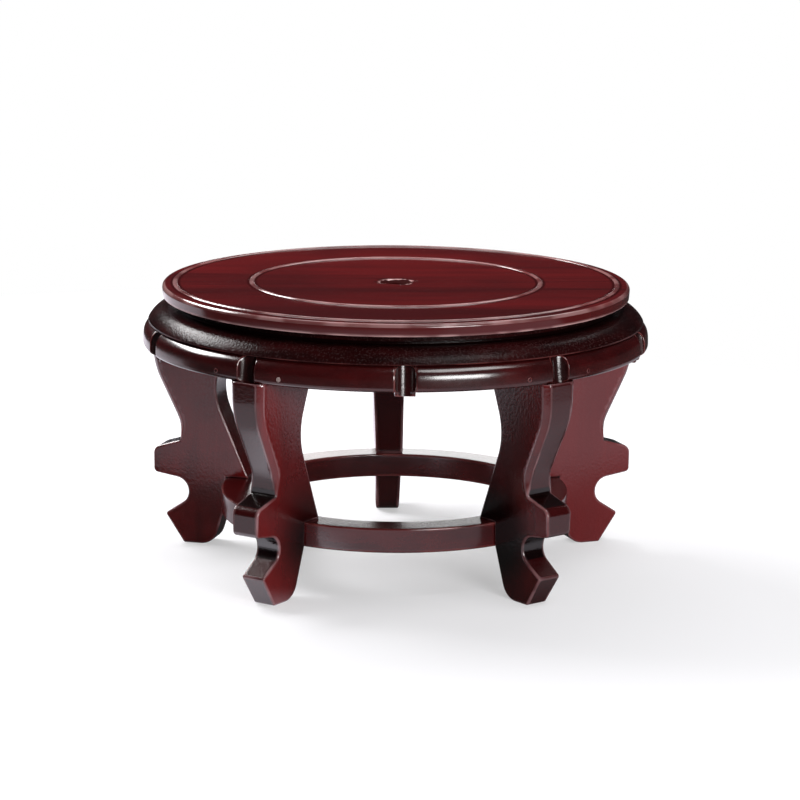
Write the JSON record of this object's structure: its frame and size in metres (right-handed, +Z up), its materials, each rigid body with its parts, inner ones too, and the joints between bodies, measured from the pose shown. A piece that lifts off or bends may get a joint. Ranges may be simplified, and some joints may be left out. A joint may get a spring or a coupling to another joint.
{
  "type": "round display stand",
  "caption": "Round hardwood display stand: a turned top with beaded border on a waisted, fluted apron, carried by sawn scroll legs that a stretcher hoop ties together.",
  "frame": {"origin": "on the floor, under the centre of the round top", "axes": "+Z up along the axis of the round top, +Y towards the first leg, so a joint block faces -Y"},
  "size_m": [0.2164, 0.2169, 0.122],
  "materials": {
    "top_lacquer": "gloss red-brown lacquer over hardwood",
    "ring_lacquer": "rough gloss dark red-brown lacquer over hardwood",
    "core_lacquer": "thin dark red-brown lacquer over hardwood",
    "band_lacquer": "gloss dark red-brown lacquer over hardwood",
    "leg_lacquer": "gloss red-brown lacquer over hardwood",
    "hoop_lacquer": "gloss red-brown lacquer over hardwood",
    "dowel_wood": "bare beech",
    "screw_steel": "plain steel",
    "brad_steel": "plain steel under lacquer"
  },
  "bodies": {
    "root": {"top_panel": "top_lacquer", "waist_ring": "ring_lacquer", "apron_core": "core_lacquer", "apron_moulding_1": "band_lacquer", "apron_moulding_2": "band_lacquer", "apron_moulding_3": "band_lacquer", "apron_moulding_4": "band_lacquer", "apron_moulding_5": "band_lacquer", "joint_block_1": "band_lacquer", "joint_block_2": "band_lacquer", "joint_block_3": "band_lacquer", "joint_block_4": "band_lacquer", "joint_block_5": "band_lacquer", "leg_1": "leg_lacquer", "leg_2": "leg_lacquer", "leg_3": "leg_lacquer", "leg_4": "leg_lacquer", "leg_5": "leg_lacquer", "stretcher_hoop": "hoop_lacquer", "leg_dowels": "dowel_wood", "hoop_dowels": "dowel_wood", "frame_screws": "screw_steel", "moulding_brads": "brad_steel"}
  },
  "joints": []
}
